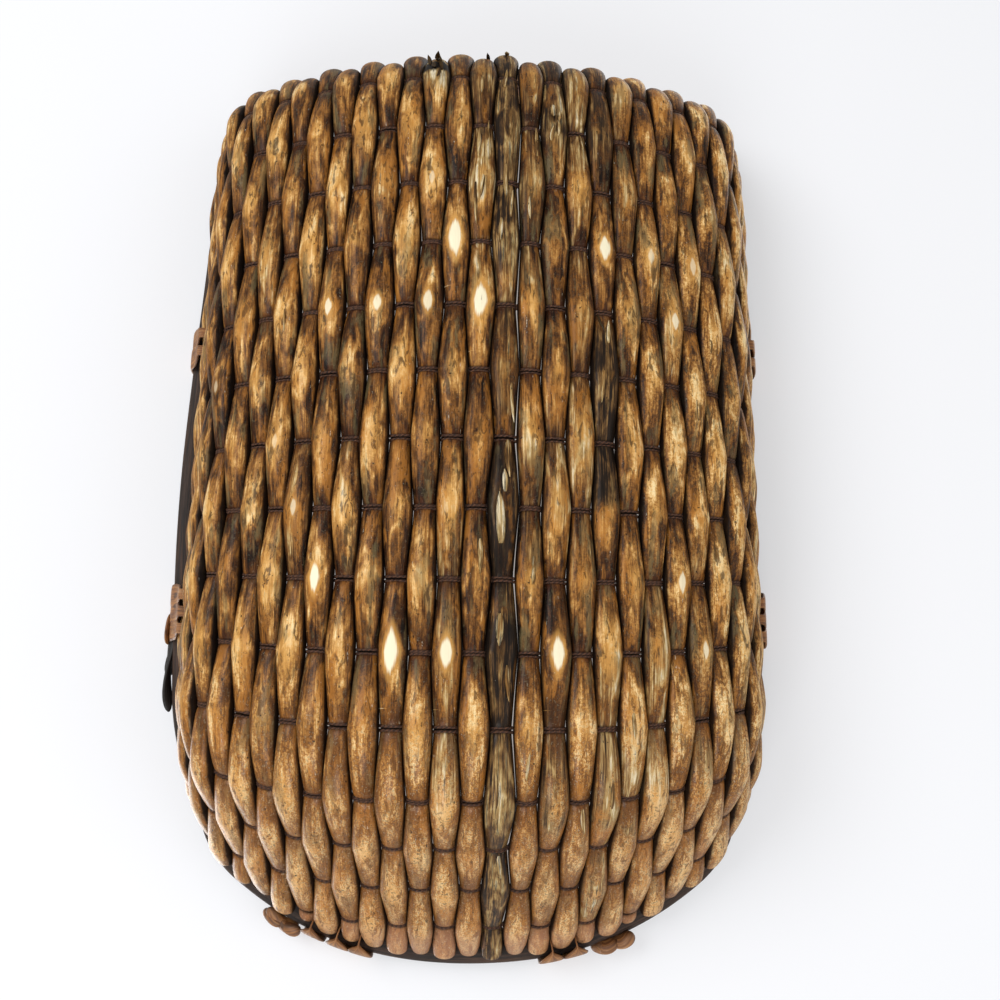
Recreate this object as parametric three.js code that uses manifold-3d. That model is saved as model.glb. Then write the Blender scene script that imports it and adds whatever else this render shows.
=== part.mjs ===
import * as THREE from "three";
import Module from "manifold-3d";

// A willow basket woven on the loom: thick peeled rods run its whole length, thin paired hemp wefts cross
// them over one and under the next, and two bent wooden hoops are lashed round the mouth with flat strips.
// X runs along the rods from the near end to the far end, Y runs across them, Z is up, and the worn
// underside stands on Z = 0. Lengths are in millimetres and angles in degrees.

// Driving dimensions of the woven shell
const rimRise = 84.4; // from the middle of the underside up to the lower edge of the outer hoop
const rodCount = 35;
const weftCount = 16;
const nearWeftInset = 23; // along the middle rod, from the rim down to the last weft of the near end
const farWeftInset = 58.5;
const rodThickness = 6.6; // through the wall
const rodSwell = 1.2; // how much thicker a rod is where it bulges than where a weft pinches it
const rodWaist = 0.85; // how much of each side of a rod a weft pinches in
const rodGap = 0.9; // between neighbouring rods
const rodCrimp = 1; // how far a weft bends a rod off the middle of the wall
const tipLength = 10; // the tapered end of a rod
const tipShare = 0.62; // width of the cut end against the rod
const tipClearance = 1; // between the rods and the outer hoop above them
const wearDepth = 1; // how much of the lowest bulges is worn flat
const edgeRodGap = 2; // room for the lashing beside the outermost rod
const weftWidth = 2; // a pair of threads side by side
const weftThickness = 0.8;
const seatGap = 0.3; // clearance wherever one piece rests on another

// Driving dimensions of the outlines: a slow crown, a round bend and a straight leaning wall
const nearCrownReach = 101.9;
const nearCrownSlope = 0.2;
const nearBendRadius = 41.4;
const nearLean = 51.2;
const farCrownReach = 132.2;
const farCrownSlope = 7.2;
const farBendRadius = 42;
const farLean = 68.3;
const sideCrownReach = 94.4;
const sideCrownSlope = 29;
const sideBendRadius = 27.4;
const sideLean = 73.8;
const nearBow = 0.138; // share by which the corners of the near end fall back from its middle
const farBow = 0.037;
const nearBowPower = 3;
const farBowPower = 1.5;

// Driving dimensions of the rim
const hoopHeight = 10;
const outerHoopThickness = 6.8;
const innerHoopThickness = 3;
const innerHoopDrop = 3; // how far the inner hoop reaches down behind the rods
const stripThickness = 0.8;
const stripWidth = 6.2;
const stripNeck = 0.6; // thickness of the strip where it passes on edge between two tips
const stripNeckDepth = 1.6; // and its depth there
const sideNeck = 4.4; // width of the strip where it passes under the outermost rod
const sideTurnPitch = 8;

const hoopSteps = 112;
const outlineStep = 0.5;
const degrees = Math.PI / 180;

const halfBulge = (rodThickness + rodSwell) / 2;
const standHeight = halfBulge + rodCrimp - wearDepth; // height of the shell's middle over the floor
const innerFace = halfBulge - rodCrimp + seatGap + weftThickness; // from the wall's middle in to the wefts
const outerFace = halfBulge + rodCrimp;

// An outline is walked in short steps, so that a length along it gives a place {out, up}.
function outline(crownReach, crownSlope, bendRadius, lean) {
  const outs = [0];
  const ups = [0];
  const walked = crownReach + 4 * rimRise;
  for (let s = outlineStep / 2; s < walked; s += outlineStep) {
    const crown = crownSlope * degrees * Math.min(1, s / crownReach);
    const bend = Math.max(0, s - crownReach) / bendRadius;
    const slope = Math.min(crown + bend, lean * degrees);
    outs.push(outs[outs.length - 1] + outlineStep * Math.cos(slope));
    ups.push(ups[ups.length - 1] + outlineStep * Math.sin(slope));
  }
  const read = (list, s) => {
    const at = Math.min(s / outlineStep, list.length - 1.001);
    const i = Math.floor(at);
    return list[i] + (at - i) * (list[i + 1] - list[i]);
  };
  const place = (s) => ({ out: read(outs, s), up: read(ups, s) });
  const lengthAt = (up) => ups.findIndex((u) => u >= up) * outlineStep;
  const crownRise = (s) => read(ups, Math.min(s, crownReach));
  return { place, lengthAt, crownRise };
}

const nearEnd = outline(nearCrownReach, nearCrownSlope, nearBendRadius, nearLean);
const farEnd = outline(farCrownReach, farCrownSlope, farBendRadius, farLean);
const side = outline(sideCrownReach, sideCrownSlope, sideBendRadius, sideLean);

const tipRise = rimRise - tipClearance;
const halfGirth = side.lengthAt(tipRise);
const rodPitch = (2 * (halfGirth - edgeRodGap)) / rodCount;
const halfBreadth = side.place(halfGirth).out;

// The middle of the wall: u runs along the rods and v across them. The rise is the sum of both outlines,
// except that the crown along the rods fades out up the side walls. The corners of both ends fall back.
function shellPoint(u, v) {
  const end = u < 0 ? nearEnd : farEnd;
  const along = end.place(Math.abs(u));
  const across = side.place(Math.abs(v));
  const share = across.out / halfBreadth;
  const bow = u < 0 ? nearBow * share ** nearBowPower : farBow * share ** farBowPower;
  const faded = end.crownRise(Math.abs(u)) * Math.min(1, across.up / rimRise);
  return new THREE.Vector3(
    Math.sign(u) * along.out * (1 - bow),
    Math.sign(v) * across.out,
    standHeight + along.up + across.up - faded,
  );
}

// The frame of the wall at (u, v): its middle, the direction of the rods, the outward normal, the direction
// across the rods, and how far a unit step of v carries at right angles to them.
function shellFrame(u, v) {
  const h = 1;
  const along = shellPoint(u + h, v).sub(shellPoint(u - h, v)).divideScalar(2 * h);
  const across = shellPoint(u, v + h).sub(shellPoint(u, v - h)).divideScalar(2 * h);
  const out = new THREE.Vector3().crossVectors(across, along);
  const spread = out.length() / along.length();
  out.normalize();
  along.normalize();
  const aside = new THREE.Vector3().crossVectors(along, out);
  return { middle: shellPoint(u, v), along, out, aside, spread };
}

// Where a point that moves outward from start to stop over the shell first rises to a height.
function climb(place, start, stop, height) {
  let low = start;
  let high = stop;
  while (high - low > start * 1e-5) {
    const middle = (low + high) / 2;
    if (place(middle).z - standHeight > height) {
      high = middle;
    } else {
      low = middle;
    }
  }
  return low;
}

// Joins rings of points, each with the same count, into one solid with flat ends, or into a closed ring.
function ringSolid(rings, closed) {
  const points = rings.flat();
  const sides = rings[0].length;
  const faces = [];
  const spans = closed ? rings.length : rings.length - 1;
  for (let r = 0; r < spans; r += 1) {
    const a = r * sides;
    const b = ((r + 1) % rings.length) * sides;
    for (let i = 0; i < sides; i += 1) {
      const j = (i + 1) % sides;
      faces.push([a + i, a + j, b + j], [a + i, b + j, b + i]);
    }
  }
  if (!closed) {
    const last = (rings.length - 1) * sides;
    for (let i = 1; i < sides - 1; i += 1) {
      faces.push([0, i + 1, i], [last, last + i, last + i + 1]);
    }
  }
  const volume = faces.reduce((sum, [a, b, c]) => {
    const turned = new THREE.Vector3().crossVectors(points[b], points[c]);
    return sum + points[a].dot(turned);
  }, 0);
  const facing = volume < 0 ? faces.map(([a, b, c]) => [a, c, b]) : faces;
  return { points, faces: facing };
}

function toGeometry({ points, faces }) {
  const geometry = new THREE.BufferGeometry();
  const flat = points.flatMap((p) => [p.x, p.y, p.z]);
  geometry.setAttribute("position", new THREE.Float32BufferAttribute(flat, 3));
  geometry.setIndex(faces.flat());
  geometry.computeVertexNormals();
  return geometry;
}

const manifold = await Module();
manifold.setup();

// Whatever would reach under the floor is worn off flat.
function wornSolid(solid) {
  if (solid.points.every((p) => p.z >= 0)) {
    return solid;
  }
  const whole = manifold.Manifold.ofMesh(new manifold.Mesh({
    numProp: 3,
    vertProperties: new Float32Array(solid.points.flatMap((p) => [p.x, p.y, p.z])),
    triVerts: new Uint32Array(solid.faces.flat()),
  }));
  const mesh = whole.trimByPlane([0, 0, 1], 0).getMesh();
  const points = [];
  for (let i = 0; i < mesh.vertProperties.length; i += mesh.numProp) {
    points.push(new THREE.Vector3(...mesh.vertProperties.slice(i, i + 3)));
  }
  const faces = [];
  for (let i = 0; i < mesh.triVerts.length; i += 3) {
    faces.push([...mesh.triVerts.slice(i, i + 3)]);
  }
  return { points, faces };
}

const willow = new THREE.MeshStandardMaterial({ color: 0xa56c36, roughness: 0.5, metalness: 0 });
const hemp = new THREE.MeshStandardMaterial({ color: 0x2a1c17, roughness: 0.9, metalness: 0 });
const bentWood = new THREE.MeshStandardMaterial({ color: 0x33261f, roughness: 0.7, metalness: 0 });
const splitStrip = new THREE.MeshStandardMaterial({ color: 0x8a5a30, roughness: 0.55, metalness: 0 });

const basket = new THREE.Group();

function addPiece(name, solid, material) {
  const piece = new THREE.Mesh(toGeometry(solid), material.clone());
  piece.name = name;
  basket.add(piece);
}

// Rods are counted from the middle one, and the outermost ones stand off for the lashing.
const lastRod = (rodCount - 1) / 2;
const rodPlace = (rod) => rod * rodPitch + (Math.abs(rod) > lastRod - 0.5 ? Math.sign(rod) * edgeRodGap : 0);
const nearWeft = -nearEnd.lengthAt(rimRise) + nearWeftInset;
const farWeft = farEnd.lengthAt(rimRise) - farWeftInset;
const weftSpacing = (farWeft - nearWeft) / (weftCount - 1);
const weftPlace = (weft) => farWeft - weft * weftSpacing;
const weftIsOutside = (rod, weft) => Math.abs(rod + weft) % 2 === 0;

// Size of a rod and its shift off the wall's middle at u: it is pinched and pushed in under a weft, and it
// bulges out between two of them, where a weft passes behind it.
function rodForm(rod, u) {
  const at = (farWeft - u) / weftSpacing;
  const weft = Math.round(at);
  const share = (weftIsOutside(rod, weft) ? 1 : -1) * (1 - 2 * Math.abs(at - weft));
  const room = (rodPitch * shellFrame(u, rodPlace(rod)).spread - rodGap) / 2;
  return {
    halfWidth: room - rodWaist * share,
    halfThickness: rodThickness / 2 - (rodSwell / 2) * share,
    shift: -rodCrimp * share,
  };
}

// Corners of a rod's section, as shares of its half width and half thickness.
const flatShare = 0.55;
const rodSection = [[-flatShare, 1], [flatShare, 1], [1, 0], [flatShare, -1], [-flatShare, -1], [-1, 0]];

function rodCorner(rod, u, [a, b], share) {
  const frame = shellFrame(u, rodPlace(rod));
  const form = rodForm(rod, u);
  return frame.middle
    .addScaledVector(frame.aside, a * form.halfWidth * share)
    .addScaledVector(frame.out, form.shift * share + b * form.halfThickness * share);
}

// A section of the rod, with each corner at its own place along it.
function rodRing(rod, places, share) {
  return rodSection.map((corner, i) => rodCorner(rod, places[i], corner, share));
}

// How far a corner of the rod reaches before the hoop stops it. end is -1 near and 1 far.
function cornerReach(rod, end, corner, share) {
  const start = farCrownReach / 4;
  const stop = farCrownReach + 2 * rimRise;
  return climb((u) => rodCorner(rod, end * u, corner, share), start, stop, tipRise + 0.25);
}

const bendEnds = [
  -nearCrownReach,
  -nearCrownReach - (nearLean - nearCrownSlope) * degrees * nearBendRadius,
];

// Both tips of a rod, the shoulders where it starts to taper, and the span of full section between them.
function rodEnds(rod) {
  const [near, far] = [-1, 1].map((end) => rodSection.map((corner) => {
    const tip = cornerReach(rod, end, corner, tipShare);
    return { tip: end * tip, shoulder: end * Math.min(tip - tipLength, cornerReach(rod, end, corner, 1)) };
  }));
  const start = Math.max(...near.map((c) => c.shoulder)) + weftWidth;
  const stop = Math.min(...far.map((c) => c.shoulder)) - weftWidth;
  return { near, far, start, stop };
}

const ends = new Map();
for (let rod = -lastRod; rod <= lastRod; rod += 1) {
  ends.set(rod, rodEnds(rod));
}
const carries = (rod, u) => u > ends.get(rod).start && u < ends.get(rod).stop;

function rodSolid(rod) {
  const { near, far } = ends.get(rod);
  const wefts = Array.from({ length: weftCount }, (_, weft) => weftPlace(weft));
  const bends = bendEnds.filter((u) => wefts.every((w) => Math.abs(w - u) > 3));
  const stations = [...wefts, ...bends].filter((u) => carries(rod, u)).sort((a, b) => a - b);
  return ringSolid([
    rodRing(rod, near.map((c) => c.tip), tipShare),
    rodRing(rod, near.map((c) => c.shoulder), 1),
    ...stations.map((u) => rodRing(rod, rodSection.map(() => u), 1)),
    rodRing(rod, far.map((c) => c.shoulder), 1),
    rodRing(rod, far.map((c) => c.tip), tipShare),
  ], false);
}

for (let rod = -lastRod; rod <= lastRod; rod += 1) {
  const number = String(rod + lastRod + 1).padStart(2, "0");
  addPiece(`rod_${number}`, wornSolid(rodSolid(rod)), willow);
}

const weftReach = 0.45; // of the rod pitch, the furthest that a weft keeps straight off a rod's middle

// One weft across the rods that it reaches: its low triangular section has two stations over each pinched
// rod and two behind each bulging one.
function weftSolid(weft) {
  const u = weftPlace(weft);
  const rings = [];
  for (let rod = -lastRod; rod <= lastRod; rod += 1) {
    if (!carries(rod, u)) {
      continue;
    }
    const outside = weftIsOutside(rod, weft) ? 1 : -1;
    const form = rodForm(rod, u);
    const frame = shellFrame(u, rodPlace(rod));
    const lift = form.shift + outside * (form.halfThickness + seatGap + weftThickness / 2);
    for (const turn of [-1, 1]) {
      const bend = frame.out.angleTo(shellFrame(u, rodPlace(rod) + turn * rodPitch).out);
      const reach = flatShare * form.halfWidth + seatGap + (outside > 0 ? 2.9 * bend : 0);
      const shoulder = Math.min(reach, weftReach * rodPitch);
      const middle = frame.middle.clone()
        .addScaledVector(frame.aside, turn * shoulder)
        .addScaledVector(frame.out, lift);
      rings.push([[-1, -1], [1, -1], [0, 1]].map(([a, b]) => middle.clone()
        .addScaledVector(frame.along, (a * weftWidth) / 2)
        .addScaledVector(frame.out, (b * weftThickness) / 2)));
    }
  }
  return ringSolid(rings, false);
}

for (let weft = 0; weft < weftCount; weft += 1) {
  addPiece(`weft_${String(weft + 1).padStart(2, "0")}`, weftSolid(weft), hemp);
}

// A place on the rim is a ray over the shell. Its height is counted from the lower edge of the outer hoop,
// and it is moved off the wall either level or square to it.
const rimRay = (angle) => (r) => [r * Math.cos(angle) * halfGirth * 1.4, r * Math.sin(angle) * halfGirth];
const endRay = (end, v) => (r) => [end * r * halfGirth * 1.4, v];
const sideRay = (edge, u) => (r) => [u, edge * r * halfGirth];

function rimPoint(ray, height, offset, square) {
  const r = climb((q) => shellPoint(...ray(q)), 0.3, 3, rimRise + Math.min(height, 0));
  const { middle, out } = shellFrame(...ray(r));
  middle.z += Math.max(height, 0);
  if (square) {
    return middle.addScaledVector(out, offset);
  }
  const level = new THREE.Vector3(out.x, out.y, 0);
  return middle.addScaledVector(level, offset / level.lengthSq());
}

// Rays that meet the rim at equal steps round it.
function evenRays(count) {
  const fine = Array.from({ length: 20 * count }, (_, i) => (i / (20 * count)) * 360 * degrees);
  const points = fine.map((angle) => rimPoint(rimRay(angle), 0, 0, false));
  const walked = [0];
  points.forEach((p, i) => walked.push(walked[i] + p.distanceTo(points[(i + 1) % points.length])));
  const total = walked[points.length];
  return Array.from({ length: count }, (_, k) => {
    const at = walked.findIndex((w, i) => i < fine.length && w >= (k / count) * total - 1e-9);
    return rimRay(fine[Math.max(at, 0)]);
  });
}

const rays = evenRays(hoopSteps);
const innerHoopOffsets = [-innerFace - seatGap - innerHoopThickness, -innerFace - seatGap];
const outerHoopOffsets = [-innerFace, outerHoopThickness - innerFace];

function hoopSolid([inner, outer], heights) {
  const down = [...heights].reverse();
  const section = [...down.map((height) => [inner, height]), ...heights.map((height) => [outer, height])];
  const ring = (ray) => section.map(([offset, height]) => rimPoint(ray, height, offset, false));
  return ringSolid(rays.map(ring), true);
}

addPiece("outer_hoop", hoopSolid([outerHoopOffsets[1], outerHoopOffsets[0]], [0, hoopHeight]), bentWood);
addPiece("inner_hoop", hoopSolid(innerHoopOffsets, [-innerHoopDrop, 0, hoopHeight]), bentWood);

// One turn of a strip round both hoops: down outside, through the wall at depth, up inside and over the
// top. Each station is {offset, height, width, thickness, normal angle, square to the wall}.
const stripLift = seatGap + stripThickness / 2;
const hoopOut = outerHoopOffsets[1] + stripLift;
const hoopIn = innerHoopOffsets[0] - stripLift;
const wallOut = outerFace + stripLift + 0.2;

function turnStations(depth, neckWidth, neckDepth) {
  const wide = stripWidth;
  const thin = stripThickness;
  const folded = stripThickness * Math.SQRT2;
  const inside = -0.55 * depth - 0.45 * (innerHoopDrop + stripLift);
  return [
    [hoopOut, hoopHeight + stripLift, wide, folded, 45, false],
    [hoopOut, 0.6, wide, thin, 0, false],
    [wallOut, -0.3 * depth, (wide + neckWidth) / 2, thin, 0, true],
    [wallOut, 0.6 - depth, neckWidth, (thin + neckDepth) / 2, -30, true],
    [wallOut - 1, -depth, neckWidth, neckDepth, -75, true],
    [1 - innerFace - stripLift, -0.5 - depth, neckWidth, neckDepth, -90, true],
    [hoopIn + 0.4, inside, (wide + neckWidth) / 2, thin, -150, false],
    [hoopIn, 1 - innerHoopDrop, wide, thin, 180, false],
    [hoopIn, hoopHeight + stripLift, wide, folded, 135, false],
  ];
}

// A strip wound round the rim, each turn with its ray and depth. Its width lies along the rim, and inside
// the rim it slants towards the next turn. The last entry is the turn that it would make next.
function stripSolid(turns, neckWidth, neckDepth) {
  const rings = [];
  turns.slice(0, -1).forEach(({ ray, depth }, turn) => {
    const next = turns[turn + 1].ray;
    const stations = turnStations(depth, neckWidth, neckDepth);
    const start = [(hoopIn + hoopOut) / 2, hoopHeight + stripLift, stripWidth, stripThickness, 90, false];
    const stop = [hoopIn, hoopHeight - 1, stripWidth, stripThickness, 180, false];
    const isLast = turn === turns.length - 2;
    const path = [...(turn === 0 ? [start] : []), ...(isLast ? [...stations.slice(0, -1), stop] : stations)];
    path.forEach(([offset, height, width, thickness, angle, square], i) => {
      const share = Math.max(0, i + 3 - path.length) / 3;
      const spot = rimPoint(ray, height, offset, square).lerp(rimPoint(next, height, offset, square), share);
      const r = climb((q) => shellPoint(...ray(q)), 0.3, 3, rimRise);
      const { out } = shellFrame(...ray(r));
      const level = new THREE.Vector3(out.x, out.y, 0).normalize();
      const rimward = new THREE.Vector3(-level.y, level.x, 0);
      const normal = level.multiplyScalar(Math.cos(angle * degrees));
      normal.z = Math.sin(angle * degrees);
      rings.push([[-1, -1], [1, -1], [1, 1], [-1, 1]].map(([a, b]) => spot.clone()
        .addScaledVector(rimward, (a * width) / 2)
        .addScaledVector(normal, (b * thickness) / 2)));
    });
  });
  return ringSolid(rings, false);
}

// The gap between two rods lies nearer to the one that is pinched there.
function gapShift(rod, next, u) {
  return (rodForm(rod, u).halfWidth - rodForm(next, u).halfWidth) / 2;
}

// Lashings at an end pass between the tips of neighbouring rods.
function addEndLashing(name, end, firstRod, count) {
  const turns = Array.from({ length: count + 1 }, (_, i) => {
    const rod = firstRod + i;
    const depth = tipClearance + tipLength / 2;
    const middle = (rod + 0.5) * rodPitch;
    const stop = farCrownReach + 2 * rimRise;
    const u = climb((q) => shellPoint(end * q, middle), farCrownReach / 4, stop, rimRise - depth);
    return { ray: endRay(end, middle + gapShift(rod, rod + 1, end * u)), depth };
  });
  addPiece(name, stripSolid(turns, stripNeck, stripNeckDepth), splitStrip);
}

// Lashings at a side pass under the outermost rod, between two wefts.
function addSideLashing(name, edge, weft, count) {
  const turns = Array.from({ length: count + 1 }, (_, i) => {
    const u = weftPlace(weft + 0.5) + (i - (count - 1) / 2) * sideTurnPitch;
    const drop = rodPitch + edgeRodGap / 2 - gapShift(edge * (lastRod - 1), edge * lastRod, u);
    return { ray: sideRay(edge, u), depth: tipClearance + drop * Math.sin(sideLean * degrees) };
  });
  addPiece(name, stripSolid(turns, sideNeck, stripThickness), splitStrip);
}

addSideLashing("lashing_left_far", -1, 4, 2);
addSideLashing("lashing_left_near", -1, 9, 3);
addEndLashing("lashing_near_left", -1, -7, 3);
addEndLashing("lashing_near_right", -1, 3, 2);
addSideLashing("lashing_right_far", 1, 4, 2);
addSideLashing("lashing_right_near", 1, 9, 3);
addEndLashing("lashing_far", 1, -2, 3);

// The box of the whole basket is centred over the origin.
const box = new THREE.Box3().setFromObject(basket);
const centre = box.getCenter(new THREE.Vector3());
basket.children.forEach((piece) => piece.geometry.translate(-centre.x, -centre.y, 0));

export default basket;
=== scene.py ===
import bpy
import numpy as np
from mathutils import Matrix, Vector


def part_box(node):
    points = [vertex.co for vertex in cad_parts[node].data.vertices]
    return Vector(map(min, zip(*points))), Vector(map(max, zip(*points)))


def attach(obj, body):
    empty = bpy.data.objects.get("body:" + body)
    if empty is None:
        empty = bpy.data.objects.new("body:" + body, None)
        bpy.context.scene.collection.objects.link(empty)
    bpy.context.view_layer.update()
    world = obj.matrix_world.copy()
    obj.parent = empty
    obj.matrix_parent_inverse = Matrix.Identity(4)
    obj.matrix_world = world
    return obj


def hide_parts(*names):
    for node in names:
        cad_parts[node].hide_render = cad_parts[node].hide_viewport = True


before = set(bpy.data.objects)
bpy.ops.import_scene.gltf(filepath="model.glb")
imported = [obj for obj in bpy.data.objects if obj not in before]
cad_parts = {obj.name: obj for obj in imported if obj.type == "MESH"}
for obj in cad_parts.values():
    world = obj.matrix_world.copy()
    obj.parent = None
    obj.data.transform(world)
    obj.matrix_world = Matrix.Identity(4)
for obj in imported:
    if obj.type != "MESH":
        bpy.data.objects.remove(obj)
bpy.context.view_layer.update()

mm = 0.001
tau = 2 * np.pi

# The woven shell in millimetres, as the CAD builds it
shell = {
    "rimRise": 84.4,
    "rodCount": 35,
    "weftCount": 16,
    "weftSpacing": 25.1,
    "weftShift": 15.75,
    "edgeRodGap": 2.0,
    "standHeight": 3.9,
    "tipRise": 83.4,
    "nearBow": 0.138,
    "farBow": 0.037,
    "nearBowPower": 3.0,
    "farBowPower": 1.5,
}


# An outline starts level, its slope grows evenly over the crown and then faster round the bend until the wall
# leans as far as it should; the place is the running sum of the slope's cosine and sine.
def outline(reach, slope, bend, lean):
    s = np.arange(0.25, reach + 4 * shell["rimRise"], 0.5)
    angle = np.radians(slope) * np.minimum(1, s / reach) + np.maximum(0, s - reach) / bend
    angle = np.minimum(angle, np.radians(lean))
    out = np.concatenate([[0], np.cumsum(0.5 * np.cos(angle))])
    up = np.concatenate([[0], np.cumsum(0.5 * np.sin(angle))])
    return {"s": 0.5 * np.arange(len(out)), "out": out, "up": up, "reach": reach}


wallLean = 73.8
nearEnd = outline(reach=101.9, slope=0.2, bend=41.4, lean=51.2)
farEnd = outline(reach=132.2, slope=7.2, bend=42, lean=68.3)
sideWall = outline(reach=94.4, slope=29, bend=27.4, lean=wallLean)
halfGirth = 0.5 * np.argmax(sideWall["up"] >= shell["tipRise"])
rodPitch = 2 * (halfGirth - shell["edgeRodGap"]) / shell["rodCount"]
halfBreadth = np.interp(halfGirth, sideWall["s"], sideWall["out"])
lastRod = shell["rodCount"] // 2


# Middle of the wall: the rise is the sum of both outlines, less the end's crown as it fades up the side wall, and
# the corners of both ends fall back by a power of their share of the breadth.
def shellPoint(u, v):
    u, v = np.broadcast_arrays(np.asarray(u, float), np.asarray(v, float))
    far = u >= 0
    length = np.abs(u)

    def alongRead(part, at):
        return np.where(far, np.interp(at, farEnd["s"], farEnd[part]), np.interp(at, nearEnd["s"], nearEnd[part]))

    acrossOut = np.interp(np.abs(v), sideWall["s"], sideWall["out"])
    acrossUp = np.interp(np.abs(v), sideWall["s"], sideWall["up"])
    share = acrossOut / halfBreadth
    farBow, nearBow = shell["farBow"] * share ** shell["farBowPower"], shell["nearBow"] * share ** shell["nearBowPower"]
    bow = np.where(far, farBow, nearBow)
    crown = alongRead("up", np.minimum(length, np.where(far, farEnd["reach"], nearEnd["reach"])))
    rise = alongRead("up", length) + acrossUp - crown * np.minimum(1, acrossUp / shell["rimRise"])
    x = np.where(far, 1, -1) * alongRead("out", length) * (1 - bow)
    return np.stack([x, np.sign(v) * acrossOut, shell["standHeight"] + rise], -1)


def unit(vectors):
    return vectors / np.linalg.norm(vectors, axis=-1, keepdims=True)


# Length walked along a path up to each of its points
def walkedLength(path):
    return np.concatenate([[0], np.cumsum(np.linalg.norm(np.diff(path, axis=0), axis=1))])


def sectionAngles(sides):
    return np.linspace(0, tau, sides, endpoint=False)


# The size of each value to a power, with its sign; it turns a circle into a rounded oval
def flattened(values, power):
    return np.sign(values) * np.abs(values) ** power


# Rings round a path: each point of a section goes a along the first direction and b along the second
def sweep(path, first, second, a, b):
    return path[:, None] + first[:, None] * a[..., None] + second[:, None] * b[..., None]


# What would reach under the floor is worn off flat: the height's mean with the root of its square and floorEase
floorEase = 0.02


def wornFlat(rings):
    rings[..., 2] = 0.5 * (rings[..., 2] + np.sqrt(rings[..., 2] ** 2 + floorEase))
    return rings


# Frame of the wall from small steps either way: middle, direction of the rods, outward normal, direction across
# the rods, and how far a unit step of v carries at right angles to them.
def shellFrame(u, v):
    along = (shellPoint(u + 1, v) - shellPoint(u - 1, v)) / 2
    across = (shellPoint(u, v + 1) - shellPoint(u, v - 1)) / 2
    out = np.cross(across, along)
    spread = np.linalg.norm(out, axis=-1) / np.linalg.norm(along, axis=-1)
    out, along = unit(out), unit(along)
    return {"middle": shellPoint(u, v), "along": along, "out": out, "aside": np.cross(along, out), "spread": spread}


def rodPlace(rod):
    return rod * rodPitch + (np.sign(rod) * shell["edgeRodGap"] if abs(rod) == lastRod else 0)


def weftPlace(weft):
    return ((shell["weftCount"] - 1) / 2 - weft) * shell["weftSpacing"] - shell["weftShift"]


# The same place counted in wefts
def weftNumber(u):
    return (shell["weftCount"] - 1) / 2 - (u + shell["weftShift"]) / shell["weftSpacing"]


# 1 where a weft passes outside a rod, -1 where it passes inside
def passing(rod, weft):
    return 1 - 2 * ((rod + weft) % 2)


# The CAD centres its box after building, so everything here moves by the same step along X.
middleWeft = shellFrame(np.array(weftPlace(7)), np.array(0.0))
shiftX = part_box("weft_08")[1].x / mm - middleWeft["middle"][0] - middleWeft["along"][0]
print(f"shell ready, shift {shiftX:.3f} mm, rod pitch {rodPitch:.3f} mm")


# Grid of points in rings, joined round and along; the ends close on a pole or the path closes on itself. A
# negative volume turns all faces over.
def ringMesh(name, rings, closed=False):
    count, sides = rings.shape[:2]
    points = rings.reshape(-1, 3)
    row = np.arange(count if closed else count - 1)[:, None]
    col = np.arange(sides)[None, :]
    here, there = row * sides, (row + 1) % count * sides
    nextCol = (col + 1) % sides
    quads = np.stack([here + col, here + nextCol, there + nextCol, there + col], -1).reshape(-1, 4)
    corners = [quads[:, [0, 1, 2]], quads[:, [0, 2, 3]]]
    caps = np.zeros((0, 3), int)
    if not closed:
        poles = np.stack([rings[0].mean(0), rings[-1].mean(0)])
        points = np.concatenate([points, poles])
        col, nextCol = col[0], nextCol[0]
        last = (count - 1) * sides
        first = np.stack([nextCol, col, np.full(sides, count * sides)], -1)
        caps = np.concatenate([first, np.stack([last + col, last + nextCol, np.full(sides, count * sides + 1)], -1)])
        corners.append(caps)
    tri = points[np.concatenate(corners)]
    volume = np.einsum("ij,ij->i", tri[:, 0], np.cross(tri[:, 1], tri[:, 2])).sum()
    if volume < 0:
        quads, caps = quads[:, ::-1], caps[:, ::-1]
    mesh = bpy.data.meshes.new(name)
    placed = (points + np.array([shiftX, 0, 0])) * mm
    mesh.from_pydata(placed.tolist(), [], quads.tolist() + caps.tolist())
    mesh.polygons.foreach_set("use_smooth", np.ones(len(mesh.polygons), bool))
    mesh.update()
    return mesh


# Values that the material reads: one part or three, each spread over the rings; the poles take their ring's mean
def keepValues(mesh, name, shape, *parts):
    values = np.stack([np.broadcast_to(part, shape) for part in parts], -1)
    flat = values.reshape(-1, len(parts))
    if len(flat) < len(mesh.vertices):
        flat = np.concatenate([flat, values[0].mean(0)[None], values[-1].mean(0)[None]])
    kind, part = ("FLOAT_VECTOR", "vector") if len(parts) == 3 else ("FLOAT", "value")
    mesh.attributes.new(name, kind, "POINT").data.foreach_set(part, flat.ravel())


# The grain's third value steps from piece to piece, so that no two share a pattern
lotStep = {"rod": 13.7, "splinter": 3.1, "weft": 9.1, "hoop": 5.3, "strip": 3.3, "curl": 4.1}


def newObject(name, data):
    made = bpy.data.objects.new(name, data)
    bpy.context.collection.objects.link(made)
    return made


def turnObject(item, right, up, back, place):
    turned = np.eye(4)
    turned[:3] = np.stack([right, up, back, place], -1)
    item.matrix_world = Matrix(turned.tolist())


def joinMeshes(name, meshes):
    objects = [newObject(name, mesh) for mesh in meshes]
    if len(objects) > 1:
        with bpy.context.temp_override(active_object=objects[0], selected_editable_objects=objects):
            bpy.ops.object.join()
    return objects[0]


def finishPiece(piece, node, slot):
    piece.name = node + "_piece"
    piece.data.materials.clear()
    piece.data.materials.append(finishes[slot])
    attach(piece, "root")
    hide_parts(node)


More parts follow.
